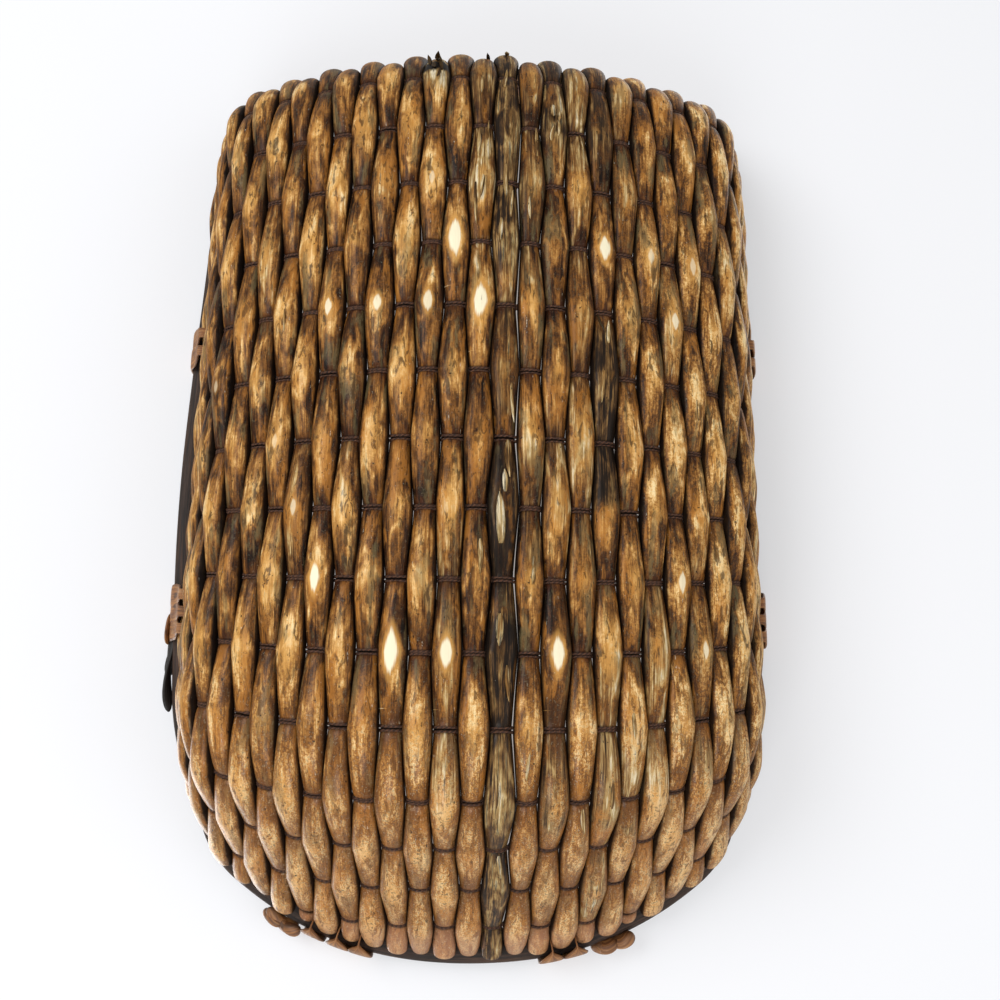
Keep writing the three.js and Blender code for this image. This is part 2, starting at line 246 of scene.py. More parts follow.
# Shader maths
class Wire:
    # one output socket; sums and products of wires and numbers add their Math nodes
    def __init__(self, sheet, socket):
        self.sheet, self.socket = sheet, socket

    def maths(self, operation, *terms):
        return self.sheet.node("ShaderNodeMath", {"operation": operation}, dict(enumerate(terms)))

    def __add__(self, other):
        return self.maths("ADD", self, other)

    def __sub__(self, other):
        return self.maths("SUBTRACT", self, other)

    def __rsub__(self, other):
        return self.maths("SUBTRACT", other, self)

    def __mul__(self, other):
        return self.maths("MULTIPLY", self, other)

    __radd__, __rmul__ = __add__, __mul__

    def __pow__(self, other):
        return self.maths("POWER", self, other)

    def sine(self):
        return self.maths("SINE", self)

    # 0 below start, 1 above stop, eased between
    def between(self, start, stop):
        ends = {"Value": self, "From Min": start, "From Max": stop}
        return self.sheet.node("ShaderNodeMapRange", {"interpolation_type": "SMOOTHSTEP"}, ends)


class Sheet:
    # the node tree of one finish
    def __init__(self, owner):
        self.tree = owner.node_tree
        self.tree.nodes.clear()

    # a node by its type: settings first, then the values or links of its sockets; gives back one output
    def node(self, kind, settings=None, sockets=None, output=0):
        made = self.tree.nodes.new(kind)
        for key, value in (settings or {}).items():
            setattr(made, key, value)
        for key, value in (sockets or {}).items():
            if isinstance(value, Wire):
                self.tree.links.new(value.socket, made.inputs[key])
            else:
                made.inputs[key].default_value = value
        if not made.outputs:
            return made
        return Wire(self, made.outputs[output])

    def kept(self, name):
        return self.node("ShaderNodeAttribute", {"attribute_name": name}, output="Fac")

    # the three parts of a kept vector
    def keptParts(self, name):
        vector = self.node("ShaderNodeAttribute", {"attribute_name": name}, output="Vector")
        return [self.node("ShaderNodeSeparateXYZ", None, {0: vector}, output=i) for i in range(3)]

    def noise(self, x, y, z, detail, roughness, distortion=0.0):
        point = self.node("ShaderNodeCombineXYZ", None, {"X": x, "Y": y, "Z": z})
        values = {"Vector": point, "Scale": 1.0, "Detail": detail, "Roughness": roughness, "Distortion": distortion}
        return self.node("ShaderNodeTexNoise", None, values)

    # a colour ramp from rows of place, red, green and blue
    def ramp(self, factor, rows):
        ramp = self.node("ShaderNodeValToRGB", None, {0: factor})
        stops = ramp.socket.node.color_ramp.elements
        for i, (at, *colour) in enumerate(rows):
            stop = stops[i] if i < 2 else stops.new(at)
            stop.position, stop.color = at, tint(*colour)
        return ramp

    def mix(self, factor, first, second):
        return self.node("ShaderNodeMix", {"data_type": "RGBA"}, {0: factor, 6: first, 7: second}, output=2)

    # colours of a look laid over one another, each by its factor
    def layers(self, colour, look, *layers):
        for factor, name in layers:
            colour = self.mix(factor, colour, look[name])
        return colour


# 0 to 255 as seen on screen, made linear
def tint(red, green, blue):
    seen = np.array([red, green, blue]) / 255
    linear = np.where(seen <= 0.04045, seen / 12.92, ((seen + 0.055) / 1.055) ** 2.4)
    return (*linear.tolist(), 1.0)


def newFinish(name):
    finish = bpy.data.materials.new(name)
    finish.use_nodes = True
    return finish, Sheet(finish)


def surface(sheet, look, colour, rough, height, **others):
    bump = sheet.node("ShaderNodeBump", None, {"Height": height, "Distance": look["bumpDepth"]})
    sockets = {"Base Color": colour, "Roughness": rough, "Normal": bump}
    sockets.update({key.replace("_", " "): value for key, value in others.items()})
    shader = sheet.node("ShaderNodeBsdfPrincipled", None, sockets)
    sheet.node("ShaderNodeOutputMaterial", None, {"Surface": shader})


# Peeled willow: one lightness runs from almost black painted shade in the crevices and beside the threads to a pale
# gold painted highlight on the proud middle of each bead, moved by noises that follow the grain, and then read as a
# colour. Speckles thicken towards the near end, some rods are weathered to straw and soot, and the proudest bulges
# are worn to pale wood.
willowLook = {
    "tones": [
        (0.0, 16, 7, 2), (0.2, 56, 30, 11), (0.36, 96, 60, 25), (0.52, 140, 92, 42),
        (0.68, 185, 134, 69), (0.84, 229, 182, 114), (1.0, 255, 226, 168),
    ],
    "weathered": [
        (0.0, 14, 9, 5), (0.36, 38, 26, 16), (0.5, 88, 62, 34),
        (0.64, 138, 104, 60), (0.82, 190, 162, 108), (1.0, 236, 222, 190),
    ],
    "goldHighlightAndWear": tint(220, 163, 84),
    "amber": tint(190, 124, 48),
    "olive": tint(122, 108, 72),
    "umber": tint(50, 28, 13),
    "russetPinchShade": tint(84, 40, 15),
    "copper": tint(200, 126, 56),
    "rosy": tint(190, 138, 108),
    "pale": tint(250, 226, 180),
    "soot": tint(20, 13, 8),
    "scratch": tint(238, 226, 202),
    "paintedCreviceShade": tint(10, 3, 1),
    "cream": tint(250, 240, 208),
    "bumpDepth": 0.0004,
}


def willowFinish():
    look = willowLook
    finish, sheet = newFinish("peeled willow")
    along, around, seed = sheet.keptParts("grainPoint")
    across, reach, lot = sheet.keptParts("lie")
    shade = sheet.kept("shade")
    weather = sheet.kept("weather")
    spotAlong, spotAside, spotDepth = sheet.keptParts("spot")
    edge = across * across
    apart = seed + lot * 19.0
    lot = lot - 0.5

    # noises drawn out along the grain; the first four swing round zero
    blotch = sheet.noise(along * 0.09, around * 0.3, apart, 4.0, 0.52, 0.6) - 0.5
    streak = sheet.noise(along * 0.035, around * 1.0, seed + 31.0, 4.0, 0.6, 0.25) - 0.5
    fine = sheet.noise(along * 0.12, around * 3.4, seed + 7.0, 3.0, 0.6) - 0.5
    stain = sheet.noise(along * 0.16, around * 0.7, apart + 53.0, 4.0, 0.66, 0.6) - 0.5
    speck = sheet.noise(along * 0.9, around * 1.15, seed + 11.0, 3.0, 0.75)
    grit = speck.between(0.41, 0.59)
    hue = sheet.noise(along * 0.045, around * 0.22, apart + 71.0, 3.0, 0.55)
    dotty = sheet.noise(along * 0.62, around * 0.95, seed + 17.0, 1.0, 0.5)
    nearPart = (0.0 - along).between(70.0, 150.0)
    rightPart = seed.between(30.0, 160.0)
    tips = along.between(166.0, 178.0) + (0.0 - along).between(196.0, 212.0)

    # painted highlight on the proud middles, more at the near end and right; painted shade at the flanks and pinches
    proud = (1.0 - edge) * reach
    light = 0.43 + proud * (0.24 + nearPart * 0.3 + rightPart * 0.12) - edge * edge * 0.18 - (1.0 - reach) ** 2.0 * 0.2
    light = light + blotch * 1.7 + streak * 0.9 + fine * 0.55 + tips * 0.12 + lot * 0.24 + nearPart * 0.02
    light = light + (grit - 0.5) * (0.12 + nearPart * 0.54 + rightPart * 0.12) + rightPart * 0.07
    colour = sheet.layers(
        sheet.ramp(light, look["tones"]), look,
        # painted highlight in gold on the proud middles, broken by stains and per-bead tone
        ((proud + stain * 1.3 + lot * 0.5).between(0.6, 0.95) * 0.5, "goldHighlightAndWear"),
        ((hue + stain * 0.4).between(0.55, 0.64) * 0.5, "amber"),
        ((hue - stain * 0.4).between(0.45, 0.36) * 0.5, "olive"),
        (stain.between(0.03, 0.12) * 0.72, "umber"),
        # painted shade in russet towards the pinches beside the threads
        ((1.0 - reach + streak * 0.6).between(0.78, 1.04) * 0.5, "russetPinchShade"),
        (nearPart * 0.28, "copper"),
        (speck.between(0.52, 0.62) * (0.14 + nearPart * 0.56), "umber"),
        (tips * 0.45, "rosy"),
        (speck.between(0.45, 0.33) * (0.06 + nearPart * 0.22), "pale"),
    )

    # weathered rods split along the grain into straw and soot
    frayed = streak * 1.7 + fine * 0.9 + blotch * 1.3 + lot * 0.4 + 0.4 + proud * 0.15
    grey = sheet.ramp(frayed, look["weathered"])
    colour = sheet.mix((weather * 1.25 + blotch * 1.6).between(0.3, 0.85), colour, grey)
    crack = (fine * 0.5 + streak * 0.5 + weather * 0.1).between(0.14, 0.19)
    scratch = (fine * 0.6 + speck * 0.4 + weather * 0.05).between(0.07, 0.03) * hue.between(0.48, 0.56)

    # the worn spot is an oval round the middle of the bulge, its edge broken by the grain
    oval = ((spotAlong * spotAlong) ** 0.72 + (spotAside * spotAside) ** 0.72) ** 0.7
    oval = oval + streak * 0.9 + fine * 0.4
    # painted shade: near black on the flanks and beside the threads, its edge broken by the grain
    paintedShade = (shade + streak * 0.4).between(0.08, 0.8)
    colour = sheet.layers(
        colour, look,
        ((weather + streak * 0.3).between(0.84, 0.96), "soot"),
        (crack * 0.85, "soot"),
        (dotty.between(0.73, 0.78) * 0.85, "soot"),
        (scratch * 0.7, "scratch"),
        (oval.between(1.55, 0.95) * spotDepth * 0.6, "goldHighlightAndWear"),
        (oval.between(1.0, 0.66) * spotDepth, "cream"),
        (paintedShade * 0.96, "paintedCreviceShade"),
    )

    height = streak * 0.6 + fine * 0.4 + speck * (0.15 + nearPart * 0.4) - crack * 0.9 + blotch * 0.4
    rough = 0.4 + speck * 0.2 + weather * 0.2 + shade * 0.3
    coat = (0.15 + nearPart * 0.25) * (1.0 - shade)
    surface(sheet, look, colour, rough, height, Specular_IOR_Level=0.1, Coat_Weight=coat, Coat_Roughness=0.25)
    return finish


# Hemp thread: near black with a little brown, wound in slanting ridges; the brown is partly painted highlight along
# them
hempLook = {"dark": tint(26, 13, 7), "brown": tint(112, 70, 44), "ridges": 3.84, "bumpDepth": 0.00015}


def hempFinish():
    look = hempLook
    finish, sheet = newFinish("dark hemp thread")
    along, around, seed = sheet.keptParts("grainPoint")
    twist = (along * look["ridges"] + around * 2.0).sine()
    fray = sheet.noise(along * 2.5, around * 2.0, seed, 3.0, 0.7)
    # brown flecks from the fray noise, and a painted highlight along the twist ridges
    colour = sheet.mix((twist * 0.08 + fray).between(0.32, 0.8), look["dark"], look["brown"])
    surface(sheet, look, colour, 0.72 + fray * 0.2, twist * 0.25 + fray * 0.6)
    return finish


# Bent wood of the hoops: smoked almost black, with brown long grain where hands and the ground rubbed it
hoopLook = {"smoke": tint(30, 22, 19), "brown": tint(78, 55, 42), "rubbed": tint(128, 92, 64), "bumpDepth": 0.0004}


def hoopFinish():
    look = hoopLook
    finish, sheet = newFinish("smoked bent wood")
    along, around, seed = sheet.keptParts("grainPoint")
    grain = sheet.noise(along * 0.035, around * 1.3, seed, 5.0, 0.65, 0.5)
    hair = sheet.noise(along * 0.12, around * 5.0, seed + 5.0, 3.0, 0.6)
    patch = sheet.noise(along * 0.03, around * 0.12, seed + 9.0, 3.0, 0.55)
    colour = sheet.layers(
        look["smoke"], look,
        (grain.between(0.38, 0.68), "brown"),
        ((patch * 0.6 + hair * 0.5).between(0.58, 0.78) * 0.5, "rubbed"),
        (hair.between(0.5, 0.3) * 0.5, "smoke"),
    )
    surface(sheet, look, colour, 0.5 + hair * 0.25, grain * 0.7 + hair * 0.5)
    return finish


# Flat split strip of the lashings: golden brown along its grain, with painted shade at its edges and folds
stripLook = {
    "golden": tint(178, 122, 68),
    "brown": tint(118, 72, 38),
    "dark": tint(52, 32, 20),
    "pale": tint(206, 160, 108),
    "char": tint(20, 15, 13),
    "bumpDepth": 0.00025,
}


def stripFinish():
    look = stripLook
    finish, sheet = newFinish("split strip")
    along, around, seed = sheet.keptParts("grainPoint")
    shade = sheet.kept("shade")
    grain = sheet.noise(along * 0.06, around * 1.6, seed, 4.0, 0.6, 0.3)
    hair = sheet.noise(along * 0.2, around * 5.5, seed + 4.0, 3.0, 0.6)
    patch = sheet.noise(along * 0.12, around * 0.3, seed + 8.0, 3.0, 0.6)
    colour = sheet.layers(
        look["brown"], look,
        (grain.between(0.35, 0.65), "golden"),
        (patch.between(0.56, 0.74) * 0.7, "pale"),
        (patch.between(0.46, 0.28) * 0.8, "dark"),
        (hair.between(0.55, 0.72) * 0.5, "dark"),
        # painted shade on the strip's edges and the curls' sides and ends
        (shade * 0.85, "dark"),
        ((shade - 1.0).between(0.0, 0.1), "char"),
    )
    height = grain * 0.4 + hair * 0.6
    surface(sheet, look, colour, 0.42 + hair * 0.2, height, Coat_Weight=0.15, Coat_Roughness=0.3)
    return finish


finishes = {"willow": willowFinish(), "hemp": hempFinish(), "bent_wood": hoopFinish(), "split_strip": stripFinish()}
print("finishes ready")

# Rods
rodLook = {
    "gap": -0.1,
    "waist": 0.85,
    "bulgeTop": 4.9,
    "pinchTop": 1.7,
    "bulgeBottom": -2.9,
    "pinchBottom": -3.7,
    "crownPower": 1.5,
    "grooveReach": 3.4,
    "grooveDepth": 1.15,
    "sectionPower": 2.2,
    "sides": 24,
    "tipRound": 3.0,
    "tipTaper": 9.0,
    "tipShare": 0.8,
    "tipDrop": 0.4,
    "bulgeWander": 0.25,
    "innerGroove": 0.8,
    "slack": {2: 0.3},
    "girth": 24.0,
    "stepsFromThread": [0, 0.3, 0.6, 0.95, 1.35, 1.8, 2.35, 3.0, 3.8, 5.0, 6.8, 9, 11.4, 13.8, 16.2, 18.6, 20.6, 21.9,
                        22.8, 23.5, 24.1],
    "stepsFromTip": [0.02, 0.12, 0.35, 0.7, 1.2, 1.8, 2.5, 3.3, 4.4, 5.8, 7.4, 9.2],
}
# How far the painted shade of the flanks, of the outer and of the inner threads reaches: from or mm, power and strength
rodShade = {"flank": (0.82, 1.1, 0.9), "thread": (1.7, 0.8, 0.95), "inner": (2.6, 1.3, 0.9)}
edgeWander = {"along": 1.6, "swell": (0.8, 1.22), "waves": ((0.16, 9.0), (0.1, 21.0)), "ease": 3}
spacing = shell["weftSpacing"]


# Where a line of the shell at a fixed v first rises to a height above its lowest point
def riseLength(end, v, height):
    u = np.linspace(60, 330, 2701)
    rise = shellPoint(end * u, v)[:, 2] - shell["standHeight"]
    return np.interp(height, np.maximum.accumulate(rise), u)


# The line between two neighbouring rods zigzags: it moves towards the rod that is pinched at each weft. Its
# corners wander a little along and across, and a running mean rounds them off.
edgeFine = np.arange(-260.0, 260.0, 0.5)


def zigzag(edge, ownRod):
    wefts = np.arange(-4, shell["weftCount"] + 4)
    local = np.random.default_rng(500 + edge)
    wander = edgeWander["along"]
    places = weftPlace(wefts) + local.uniform(-wander, wander, len(wefts))
    values = -passing(ownRod, wefts) * rodLook["waist"] * local.uniform(*edgeWander["swell"], len(wefts))
    order = np.argsort(places)
    line = np.interp(edgeFine, places[order], values[order])
    wave = sum(size * np.sin(edgeFine / length + local.uniform(0, 6.3)) for size, length in edgeWander["waves"])
    reach = edgeWander["ease"] + edge % 3
    kernel = np.ones(2 * reach + 1) / (2 * reach + 1)
    return np.convolve(np.pad(line, reach, mode="edge"), kernel, "valid") + wave


edges = [zigzag(edge, edge - lastRod - 1) for edge in range(shell["rodCount"] + 1)]

# The proud bulges that are worn to pale wood: rod, weft, depth, half length and half width in mm
wornSpots = [
    (-1, 4, 1.0, 8.0, 2.7), (0, 5, 1.0, 7.6, 2.8), (5, 4, 1.0, 5.4, 2.5), (-6, 9, 1.0, 6.0, 2.0),
    (-3, 10, 1.0, 8.4, 2.6), (-1, 10, 0.95, 6.0, 2.2), (3, 10, 1.0, 6.2, 2.5), (-6, 5, 0.8, 3.6, 1.5),
    (-4, 5, 0.85, 4.2, 2.0), (-2, 5, 0.75, 4.6, 1.8), (8, 5, 0.75, 3.6, 1.7), (8, 9, 0.8, 4.4, 1.8),
    (9, 10, 0.75, 4.2, 1.6), (-2, 3, 0.45, 3.4, 1.3), (7, 4, 0.55, 4.4, 1.4), (9, 4, 0.5, 4.0, 1.4),
    (-7, 8, 0.5, 3.4, 1.3), (-8, 7, 0.35, 3.2, 1.2), (12, 8, 0.4, 3.6, 1.2), (-11, 6, 0.35, 3.2, 1.2),
]
# what a point outside all of them keeps: far along, far aside, no depth
noSpot = (9.0, 9.0, 0.0)

# Weathered stretches: rod, first and last weft, amount; they fade in and out over part of a weft
stretchFade = 0.6
weatheredStretches = [
    (1, -2, 4.6, 0.8), (1, 4.6, 7, 0.45), (1, 7, 9.4, 0.62), (1, 9.4, 17, 0.72), (0, -2, 3.4, 0.5), (0, 3.4, 5, 0.3),
    (2, -2, 5, 0.42), (3, -1, 2.6, 0.55), (3, 6.6, 8.4, 0.4), (4, -2, 3, 0.5), (4, 3, 9, 0.36), (5, -2, 3, 0.5),
    (5, 5.2, 8, 0.75), (5, 10, 12.6, 0.5), (6, -2, 4, 0.35), (-2, 0.5, 1.25, 1.0), (3, 1.5, 2.4, 0.88), (2, 7, 9, 0.4),
    (-1, 8, 12, 0.36), (7, 9, 12, 0.42), (9, 8, 12, 0.34), (-7, 7, 9, 0.36), (11, 3, 7, 0.3), (5, 12.6, 15, 0.4),
    (-12, 11, 14, 0.34), (8, 4, 6, 0.34), (-9, 3, 5, 0.3), (-5, 6, 8, 0.32), (3, 10.4, 12.6, 0.44), (6, 11, 13, 0.4),
    (-4, 2, 4, 0.3),
]
beadTones = np.random.default_rng(77).uniform(0, 1, (80, 80))
beadBulges = np.random.default_rng(78).uniform(-1, 1, (80, 80))


# One rod: its section is a flattened oval, x by the power of the sine and z by the power of the cosine. Its top
# falls from the bulge to the pinch by a power of the distance and dips in a quarter circle beside the thread;
# its underside does the same where a thread passes inside. Both tips shrink by a taper and a round nose.
def rodMesh(name, rod):
    look = rodLook
    place = rodPlace(rod)
    tipRise = shell["tipRise"] - look["tipDrop"]
    start, stop = -riseLength(-1, place, tipRise), riseLength(1, place, tipRise)
    steps, nose = np.array(look["stepsFromThread"]), np.array(look["stepsFromTip"])
    numbers = np.arange(-6, 22)
    outer = weftPlace(numbers)[passing(rod, numbers) > 0]
    u = np.concatenate([(outer[:, None] + steps).ravel(), (outer[:, None] - steps[1:]).ravel(), outer + spacing])
    u = np.concatenate([u[(u > start + 10) & (u < stop - 10)], start + nose, stop - nose])
    u = np.unique(np.round(u, 3))

    weftAt = weftNumber(u)
    half = (weftAt - rod) / 2
    fromThread = np.abs(half - np.round(half)) * 2 * spacing
    fromInner = spacing - fromThread
    bead = np.floor(half).astype(int)
    tone = beadTones[rod + 20, bead + 30]
    proud = beadBulges[rod + 20, bead + 30]

    # share of the fall from bulge to pinch, and depth of the groove beside a thread
    def pinch(away):
        near = np.clip(1 - away / look["grooveReach"], 0, 1)
        return np.clip(1 - away / spacing, 0, 1) ** look["crownPower"], look["grooveDepth"] * (1 - np.sqrt(1 - near**2))

    (fall, groove), (innerFall, innerGroove) = pinch(fromThread), pinch(fromInner)
    top = look["bulgeTop"] + look["bulgeWander"] * proud * (1 - fall)
    top = top - (look["bulgeTop"] - look["pinchTop"]) * fall - groove
    bottom = look["pinchBottom"] + (look["bulgeBottom"] - look["pinchBottom"]) * innerFall
    bottom = bottom + look["innerGroove"] * innerGroove

    here = shellFrame(u, np.full_like(u, place))
    leftEdge = np.interp(u, edgeFine, edges[rod + lastRod]) + look["slack"].get(rod, 0)
    rightEdge = np.interp(u, edgeFine, edges[rod + lastRod + 1])
    room = rodPitch * here["spread"] - look["gap"]
    sideways = (rightEdge + leftEdge) / 2

    fromTip = np.minimum(u - start, stop - u)
    taper = look["tipShare"] + (1 - look["tipShare"]) * np.clip(fromTip / look["tipTaper"], 0, 1)
    shrink = taper * np.sqrt(np.clip(1 - (1 - np.clip(fromTip / look["tipRound"], 0, 1)) ** 2, 0, 1))
    halfWidth = (room + rightEdge - leftEdge) / 2 * shrink

    turn = sectionAngles(look["sides"])
    across = flattened(np.sin(turn), 2 / look["sectionPower"])
    deep = flattened(np.cos(turn), 2 / look["sectionPower"])
    x = sideways[:, None] + halfWidth[:, None] * across
    z = ((top + bottom) / 2)[:, None] + ((top - bottom) / 2 * shrink)[:, None] * deep
    mesh = ringMesh(name, wornFlat(sweep(here["middle"], here["aside"], here["out"], x, z)))
    shape = x.shape
    around = np.where(turn > np.pi, turn - tau, turn) / tau * look["girth"]
    keepValues(mesh, "grainPoint", shape, u[:, None], around, rod * lotStep["rod"])
    reach = np.where(deep[None, :] > -0.05, (fromThread / spacing)[:, None], (fromInner / spacing)[:, None])
    keepValues(mesh, "lie", shape, across, reach, tone[:, None])

    # painted shade, dark on the flanks and beside the threads
    def dark(part, share):
        _, power, strength = rodShade[part]
        return 1 - strength * np.clip(share, 0, 1) ** power

    flank = dark("flank", (np.abs(across) - rodShade["flank"][0]) / (1 - rodShade["flank"][0]))
    atThread = dark("thread", (1 - fromThread / rodShade["thread"][0])[:, None] * (deep > -0.2))
    atInner = dark("inner", (1 - fromInner / rodShade["inner"][0])[:, None] * (deep < 0.2))
    keepValues(mesh, "shade", shape, 1 - flank * atThread * atInner)

    weather = 0.1 * (beadTones[rod + 30, bead + 20] ** 2)
    for owner, first, last, amount in weatheredStretches:
        if owner == rod:
            begun = np.clip((weftAt - first) / stretchFade + 0.5, 0, 1)
            left = np.clip((last - weftAt) / stretchFade + 0.5, 0, 1)
            weather = np.maximum(weather, amount * begun * left)
    keepValues(mesh, "weather", shape, weather[:, None])

    # place in a worn spot, in shares of its size
    spot = [np.full(shape, part) for part in noSpot]
    for owner, weft, depth, long, wide in wornSpots:
        if owner == rod:
            near = np.abs(u - weftPlace(weft)) < 20
            spot[0][near] = ((u[near] - weftPlace(weft)) / long)[:, None]
            spot[1][near] = np.where(deep > 0, (x - sideways[:, None])[near] / wide, noSpot[1])
            spot[2][near] = depth
    keepValues(mesh, "spot", shape, *spot)
    return mesh, {"u": u, "sideways": sideways, "halfWidth": halfWidth, "top": top, "bottom": bottom}


# Splinters that peel off the weathered rods: rod, place counted in wefts, mm across, length, width, lift, and
# weathering where it isn't full. Each is a thin spindle whose middle line leaves the rod by the square of its length.
splinters = [
    (0, 2.5, -1.6, 13, 1.1, 1.4), (0, 3.3, -2.2, 17, 0.9, 1.0), (0, 3.1, 0.6, 10, 0.8, 0.9),
    (0, 2.2, 1.4, 9, 0.7, 1.2, 0.9), (0, 1.3, -0.5, 8, 0.8, 1.3, 0.7), (0, 0.2, 1.8, 12, 1.0, 2.2, 0.6),
    (1, 1.2, -1.2, 11, 1.2, 1.2, 0.9), (1, 1.9, 1.6, 13, 0.9, 1.0), (1, 2.9, -0.6, 15, 1.2, 1.3),
    (1, 3.5, 1.9, 12, 0.8, 0.9), (1, 3.8, -1.8, 11, 1.0, 1.1), (1, 6.4, 2.2, 14, 0.8, 1.0, 0.9),
    (1, 7.7, 0.4, 8, 1.4, 1.8), (1, 9.6, -1.0, 11, 1.8, 1.6), (1, 10.3, 1.6, 12, 0.9, 1.1, 0.9),
    (1, 8.3, -0.7, 18, 2.2, 1.5), (1, 7.2, 1.2, 14, 1.7, 1.3, 0.9), (0, 8.6, 1.5, 12, 1.2, 1.1, 0.9),
    (1, 11.8, -1.4, 13, 1.0, 1.2, 0.9), (1, 13.2, 0.8, 10, 1.2, 1.4), (1, 0.1, 0.2, 12, 1.3, 2.4, 0.8),
    (2, 2.4, 1.7, 14, 1.0, 1.3), (2, 3.4, -1.3, 9, 0.7, 0.8), (2, 8.8, 1.2, 10, 0.8, 0.9, 0.9),
    (2, 11.5, -0.8, 9, 0.7, 1.0, 0.9), (3, 1.7, -0.8, 7, 1.6, 1.9), (3, 2.0, 1.0, 8, 1.3, 1.6),
    (3, 2.2, -1.7, 6, 1.0, 1.4), (3, 1.8, 1.9, 6, 0.9, 1.7, 0.7), (4, 2.1, 1.1, 9, 0.7, 1.1, 0.9),
    (5, 5.4, 0.6, 9, 0.9, 1.2), (5, 6.1, -1.6, 12, 0.8, 1.0, 0.7), (5, 5.1, -2.4, 10, 0.6, 2.4, 0.5),
    (5, 11.9, 1.0, 10, 1.0, 1.4), (6, 10.9, -1.2, 8, 1.0, 1.3), (4, 12.2, 0.9, 9, 1.1, 1.3),
    (-2, 0.75, -2.4, 8, 1.1, 2.6, 0.5), (-2, 0.9, -0.8, 9, 1.2, 3.4, 0.4), (-2, 0.7, 0.9, 8, 1.2, 3.0, 0.45),
    (-2, 0.95, 2.3, 7, 1.0, 2.4, 0.5), (-2, 0.5, 0.1, 7, 1.4, 3.6, 0.35), (-2, 1.1, 1.6, 7, 0.8, 2.6, 0.5),
    (-8, 5.2, 1.0, 8, 0.6, 0.8, 0.8), (9, 6.3, -1.0, 9, 0.6, 0.8, 0.8), (12, 7.1, 0.8, 8, 0.6, 0.9, 0.8),
]
splinterForm = {
    "sides": 6,
    "steps": 11,
    "behind": 0.3,
    "swing": 1.0,
    "above": 0.05,
    "wide": 0.75,
    "thick": 0.16,
    "rootThick": 0.1,
}


# What the other pieces read of a rod at a place along it: its sideways shift, half width, top and bottom
def rodAt(rod, u):
    form = rodForms[rod]
    return [np.interp(u, form["u"], form[key]) for key in ("sideways", "halfWidth", "top", "bottom")]


# Height of a rod's outer (1) or inner (-1) face at a share of its half width
def faceHeight(top, bottom, share, side):
    power = rodLook["sectionPower"]
    arch = np.clip(1 - np.abs(share) ** power, 0, 1) ** (1 / power)
    return (top + bottom) / 2 + side * (top - bottom) / 2 * arch


def splinterMesh(rod, index, place, across, length, width, lift, weather=1.0):
    look = splinterForm
    share = np.linspace(0, 1, look["steps"])
    heading = -1 if index % 3 else 1
    u = weftPlace(place) + heading * (share - look["behind"]) * length
    x = across + look["swing"] * np.sin(index * 2.4) * share**2
    frames = shellFrame(u, np.full_like(u, rodPlace(rod)))
    sideways, half, top, bottom = rodAt(rod, u)
    height = faceHeight(top, bottom, x / half, 1) + look["above"] + lift * share**2
    path = frames["middle"] + frames["aside"] * (sideways + x)[:, None] + frames["out"] * height[:, None]
    turn = sectionAngles(look["sides"])
    wide = look["wide"] * width * np.sqrt(np.clip(1 - (2 * share - 0.9) ** 2, 0.02, 1))
    thick = look["thick"] + look["rootThick"] * (1 - share)
    overWide, overThick = wide[:, None] * np.cos(turn), thick[:, None] * np.sin(turn)
    mesh = ringMesh("splinter", wornFlat(sweep(path, frames["aside"], frames["out"], overWide, overThick)))
    shape = overWide.shape
    keepValues(mesh, "grainPoint", shape, u[:, None], overWide + index, index * lotStep["splinter"])
    keepValues(mesh, "lie", shape, 0.0, 1.0, 0.5 + 0.5 * weather)
    keepValues(mesh, "shade", shape, 0.1 if weather > 0.6 else 0.7)
    keepValues(mesh, "weather", shape, 0.8 * weather)
    keepValues(mesh, "spot", shape, *noSpot)
    return mesh


rodForms = {}
for rod in range(-lastRod, lastRod + 1):
    name = f"rod_{rod + lastRod + 1:02d}"
    mesh, rodForms[rod] = rodMesh(name, rod)
    flakes = [splinterMesh(rod, i, *flake[1:]) for i, flake in enumerate(splinters) if flake[0] == rod]
    finishPiece(joinMeshes(name, [mesh, *flakes]), name, "willow")
print("rods ready")

# Wefts: a pair of threads that follows each rod's outer or inner face at its own radius
weftLook = {"radius": 0.56, "apart": 0.62, "sides": 8, "stepsPerRod": 13, "sink": 0.75, "reach": 0.97, "slip": 0.3,
            "shoulder": 0.15, "uneven": 0.08}


